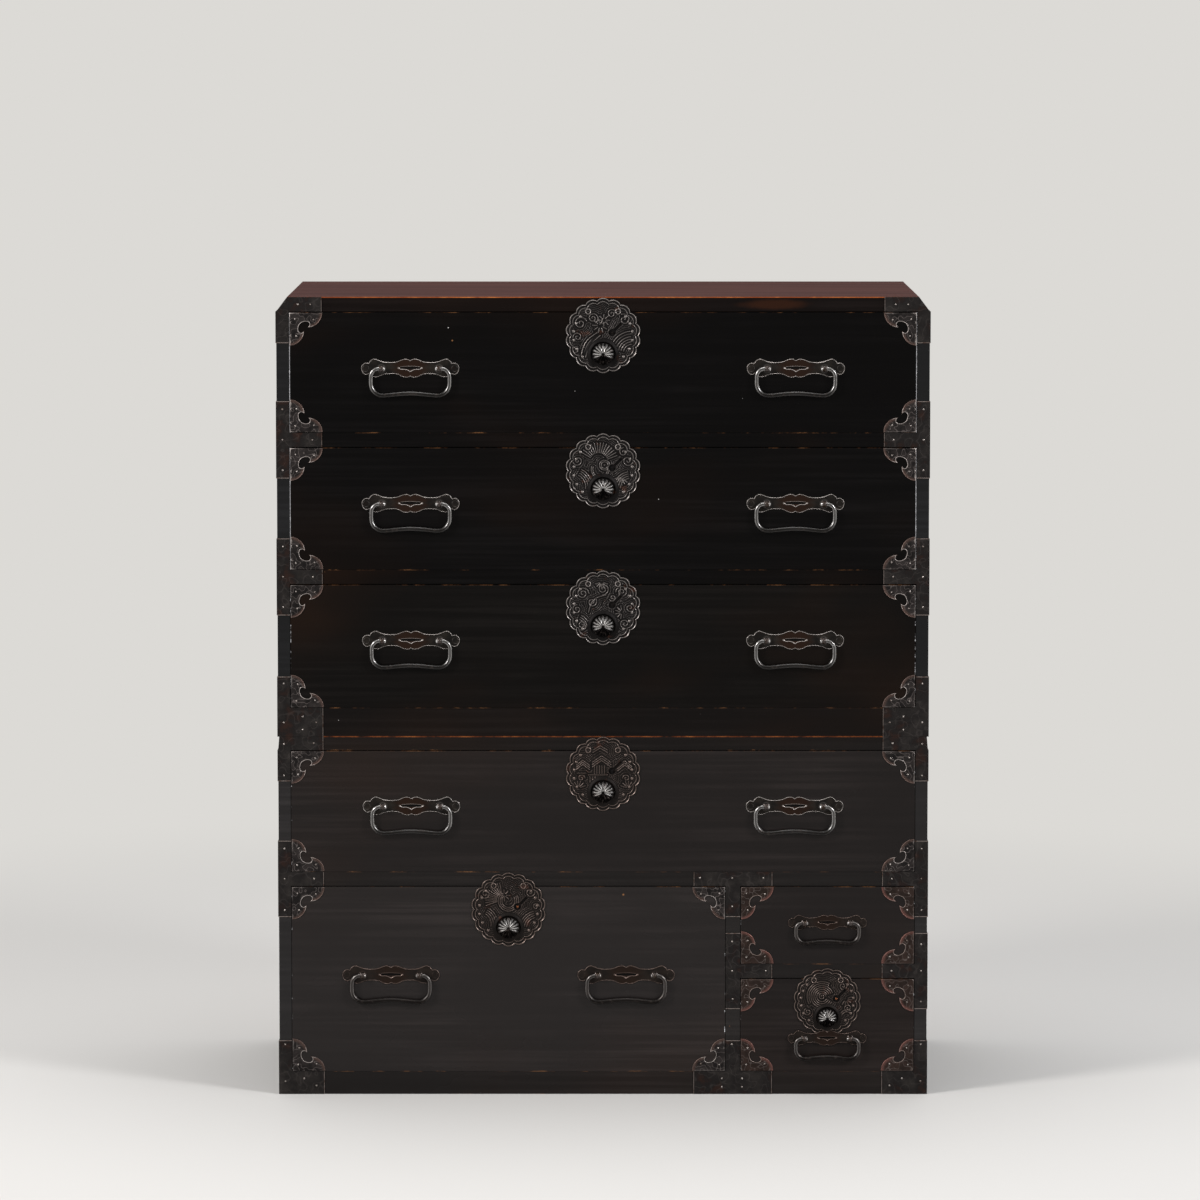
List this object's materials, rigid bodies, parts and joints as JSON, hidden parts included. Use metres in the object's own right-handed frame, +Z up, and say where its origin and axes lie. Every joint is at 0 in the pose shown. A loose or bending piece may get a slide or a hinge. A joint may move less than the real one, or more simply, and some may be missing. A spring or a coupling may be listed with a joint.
{
  "type": "stacked chest of drawers",
  "caption": "Two-part stacked wooden chest of drawers with iron corner plates, swinging bail handles and scalloped push-button lock plates.",
  "frame": {"origin": "on the floor, midway between the sides and midway between the front and the back of the wooden case", "axes": "+X to the right of someone facing the drawers, +Y from the front to the back, +Z up"},
  "size_m": [0.9, 0.4408, 1.1082],
  "materials": {
    "dark_lacquer": "satin lacquer",
    "red_lacquer": "matte lacquer",
    "bare_wood": "bare",
    "iron": "aged",
    "worn_iron": "worn bright"
  },
  "bodies": {
    "lower_case": {"lower_side_boards": "dark_lacquer", "lower_top_board": "dark_lacquer", "lower_front_rails": "dark_lacquer", "lower_base_rail": "dark_lacquer", "lower_dust_boards": "bare_wood", "lower_partition": "dark_lacquer", "lower_back_board": "bare_wood", "lower_corner_irons": "iron"},
    "upper_case": {"upper_side_boards": "dark_lacquer", "upper_top_board": "red_lacquer", "upper_front_rails": "dark_lacquer", "upper_base_rail": "dark_lacquer", "upper_dust_boards": "bare_wood", "upper_back_board": "bare_wood", "upper_corner_irons": "iron"},
    "drawer_1": {"drawer_1_front": "dark_lacquer", "drawer_1_box": "bare_wood", "drawer_1_ironwork": "iron"},
    "bail_1_left": {"bail_1_left": "worn_iron"},
    "bail_1_right": {"bail_1_right": "worn_iron"},
    "lock_button_1": {"lock_button_1": "worn_iron"},
    "lock_bolt_1": {"lock_bolt_1": "iron"},
    "drawer_2": {"drawer_2_front": "dark_lacquer", "drawer_2_box": "bare_wood", "drawer_2_ironwork": "iron"},
    "bail_2_left": {"bail_2_left": "worn_iron"},
    "bail_2_right": {"bail_2_right": "worn_iron"},
    "lock_button_2": {"lock_button_2": "worn_iron"},
    "lock_bolt_2": {"lock_bolt_2": "iron"},
    "drawer_3": {"drawer_3_front": "dark_lacquer", "drawer_3_box": "bare_wood", "drawer_3_ironwork": "iron"},
    "bail_3_left": {"bail_3_left": "worn_iron"},
    "bail_3_right": {"bail_3_right": "worn_iron"},
    "lock_button_3": {"lock_button_3": "worn_iron"},
    "lock_bolt_3": {"lock_bolt_3": "iron"},
    "drawer_4": {"drawer_4_front": "dark_lacquer", "drawer_4_box": "bare_wood", "drawer_4_ironwork": "iron"},
    "bail_4_left": {"bail_4_left": "worn_iron"},
    "bail_4_right": {"bail_4_right": "worn_iron"},
    "lock_button_4": {"lock_button_4": "worn_iron"},
    "lock_bolt_4": {"lock_bolt_4": "iron"},
    "drawer_5": {"drawer_5_front": "dark_lacquer", "drawer_5_box": "bare_wood", "drawer_5_ironwork": "iron"},
    "bail_5_left": {"bail_5_left": "worn_iron"},
    "bail_5_right": {"bail_5_right": "worn_iron"},
    "lock_button_5": {"lock_button_5": "worn_iron"},
    "lock_bolt_5": {"lock_bolt_5": "iron"},
    "drawer_6": {"drawer_6_front": "dark_lacquer", "drawer_6_box": "bare_wood", "drawer_6_ironwork": "iron"},
    "bail_6": {"bail_6": "worn_iron"},
    "drawer_7": {"drawer_7_front": "dark_lacquer", "drawer_7_box": "bare_wood", "drawer_7_ironwork": "iron"},
    "bail_7": {"bail_7": "worn_iron"},
    "lock_button_7": {"lock_button_7": "worn_iron"},
    "lock_bolt_7": {"lock_bolt_7": "iron"}
  },
  "joints": [
    {"name": "upper_case_lift", "type": "slide", "parent": "lower_case", "child": "upper_case", "axis": [0, 0, 1], "range_m": [0, 0.1]},
    {"name": "drawer_1_slide", "type": "slide", "parent": "upper_case", "child": "drawer_1", "axis": [0, -1, 0], "range_m": [0, 0.34]},
    {"name": "bail_1_left_swing", "type": "hinge", "parent": "drawer_1", "child": "bail_1_left", "pos_m": [-0.265, -0.2204, 1.0097], "axis": [-1, 0, 0], "range_deg": [0, 110]},
    {"name": "bail_1_right_swing", "type": "hinge", "parent": "drawer_1", "child": "bail_1_right", "pos_m": [0.265, -0.2204, 1.0097], "axis": [-1, 0, 0], "range_deg": [0, 110]},
    {"name": "lock_button_1_press", "type": "slide", "parent": "drawer_1", "child": "lock_button_1", "axis": [0, 1, 0], "range_m": [0, 0.003], "stiffness_N_per_m": 300, "springref_m": -0.003},
    {"name": "lock_bolt_1_lift", "type": "slide", "parent": "drawer_1", "child": "lock_bolt_1", "axis": [0, 0, 1], "range_m": [0, 0.006]},
    {"name": "drawer_2_slide", "type": "slide", "parent": "upper_case", "child": "drawer_2", "axis": [0, -1, 0], "range_m": [0, 0.34]},
    {"name": "bail_2_left_swing", "type": "hinge", "parent": "drawer_2", "child": "bail_2_left", "pos_m": [-0.265, -0.2204, 0.8232], "axis": [-1, 0, 0], "range_deg": [0, 110]},
    {"name": "bail_2_right_swing", "type": "hinge", "parent": "drawer_2", "child": "bail_2_right", "pos_m": [0.265, -0.2204, 0.8232], "axis": [-1, 0, 0], "range_deg": [0, 110]},
    {"name": "lock_button_2_press", "type": "slide", "parent": "drawer_2", "child": "lock_button_2", "axis": [0, 1, 0], "range_m": [0, 0.003], "stiffness_N_per_m": 300, "springref_m": -0.003},
    {"name": "lock_bolt_2_lift", "type": "slide", "parent": "drawer_2", "child": "lock_bolt_2", "axis": [0, 0, 1], "range_m": [0, 0.006]},
    {"name": "drawer_3_slide", "type": "slide", "parent": "upper_case", "child": "drawer_3", "axis": [0, -1, 0], "range_m": [0, 0.34]},
    {"name": "bail_3_left_swing", "type": "hinge", "parent": "drawer_3", "child": "bail_3_left", "pos_m": [-0.265, -0.2204, 0.6337], "axis": [-1, 0, 0], "range_deg": [0, 110]},
    {"name": "bail_3_right_swing", "type": "hinge", "parent": "drawer_3", "child": "bail_3_right", "pos_m": [0.265, -0.2204, 0.6337], "axis": [-1, 0, 0], "range_deg": [0, 110]},
    {"name": "lock_button_3_press", "type": "slide", "parent": "drawer_3", "child": "lock_button_3", "axis": [0, 1, 0], "range_m": [0, 0.003], "stiffness_N_per_m": 300, "springref_m": -0.003},
    {"name": "lock_bolt_3_lift", "type": "slide", "parent": "drawer_3", "child": "lock_bolt_3", "axis": [0, 0, 1], "range_m": [0, 0.006]},
    {"name": "drawer_4_slide", "type": "slide", "parent": "lower_case", "child": "drawer_4", "axis": [0, -1, 0], "range_m": [0, 0.34]},
    {"name": "bail_4_left_swing", "type": "hinge", "parent": "drawer_4", "child": "bail_4_left", "pos_m": [-0.265, -0.2204, 0.403], "axis": [-1, 0, 0], "range_deg": [0, 110]},
    {"name": "bail_4_right_swing", "type": "hinge", "parent": "drawer_4", "child": "bail_4_right", "pos_m": [0.265, -0.2204, 0.403], "axis": [-1, 0, 0], "range_deg": [0, 110]},
    {"name": "lock_button_4_press", "type": "slide", "parent": "drawer_4", "child": "lock_button_4", "axis": [0, 1, 0], "range_m": [0, 0.003], "stiffness_N_per_m": 300, "springref_m": -0.003},
    {"name": "lock_bolt_4_lift", "type": "slide", "parent": "drawer_4", "child": "lock_bolt_4", "axis": [0, 0, 1], "range_m": [0, 0.006]},
    {"name": "drawer_5_slide", "type": "slide", "parent": "lower_case", "child": "drawer_5", "axis": [0, -1, 0], "range_m": [0, 0.34]},
    {"name": "bail_5_left_swing", "type": "hinge", "parent": "drawer_5", "child": "bail_5_left", "pos_m": [-0.294, -0.2204, 0.167], "axis": [-1, 0, 0], "range_deg": [0, 110]},
    {"name": "bail_5_right_swing", "type": "hinge", "parent": "drawer_5", "child": "bail_5_right", "pos_m": [0.032, -0.2204, 0.167], "axis": [-1, 0, 0], "range_deg": [0, 110]},
    {"name": "lock_button_5_press", "type": "slide", "parent": "drawer_5", "child": "lock_button_5", "axis": [0, 1, 0], "range_m": [0, 0.003], "stiffness_N_per_m": 300, "springref_m": -0.003},
    {"name": "lock_bolt_5_lift", "type": "slide", "parent": "drawer_5", "child": "lock_bolt_5", "axis": [0, 0, 1], "range_m": [0, 0.006]},
    {"name": "drawer_6_slide", "type": "slide", "parent": "lower_case", "child": "drawer_6", "axis": [0, -1, 0], "range_m": [0, 0.34]},
    {"name": "bail_6_swing", "type": "hinge", "parent": "drawer_6", "child": "bail_6", "pos_m": [0.311, -0.2204, 0.2404], "axis": [-1, 0, 0], "range_deg": [0, 110]},
    {"name": "drawer_7_slide", "type": "slide", "parent": "lower_case", "child": "drawer_7", "axis": [0, -1, 0], "range_m": [0, 0.34]},
    {"name": "bail_7_swing", "type": "hinge", "parent": "drawer_7", "child": "bail_7", "pos_m": [0.311, -0.222, 0.0787], "axis": [-1, 0, 0], "range_deg": [0, 110]},
    {"name": "lock_button_7_press", "type": "slide", "parent": "drawer_7", "child": "lock_button_7", "axis": [0, 1, 0], "range_m": [0, 0.003], "stiffness_N_per_m": 300, "springref_m": -0.003},
    {"name": "lock_bolt_7_lift", "type": "slide", "parent": "drawer_7", "child": "lock_bolt_7", "axis": [0, 0, 1], "range_m": [0, 0.006]}
  ],
  "couplings": [
    {"joint": "lock_bolt_1_lift", "follows": "lock_button_1_press", "ratio": 2},
    {"joint": "lock_bolt_2_lift", "follows": "lock_button_2_press", "ratio": 2},
    {"joint": "lock_bolt_3_lift", "follows": "lock_button_3_press", "ratio": 2},
    {"joint": "lock_bolt_4_lift", "follows": "lock_button_4_press", "ratio": 2},
    {"joint": "lock_bolt_5_lift", "follows": "lock_button_5_press", "ratio": 2},
    {"joint": "lock_bolt_7_lift", "follows": "lock_button_7_press", "ratio": 2}
  ]
}
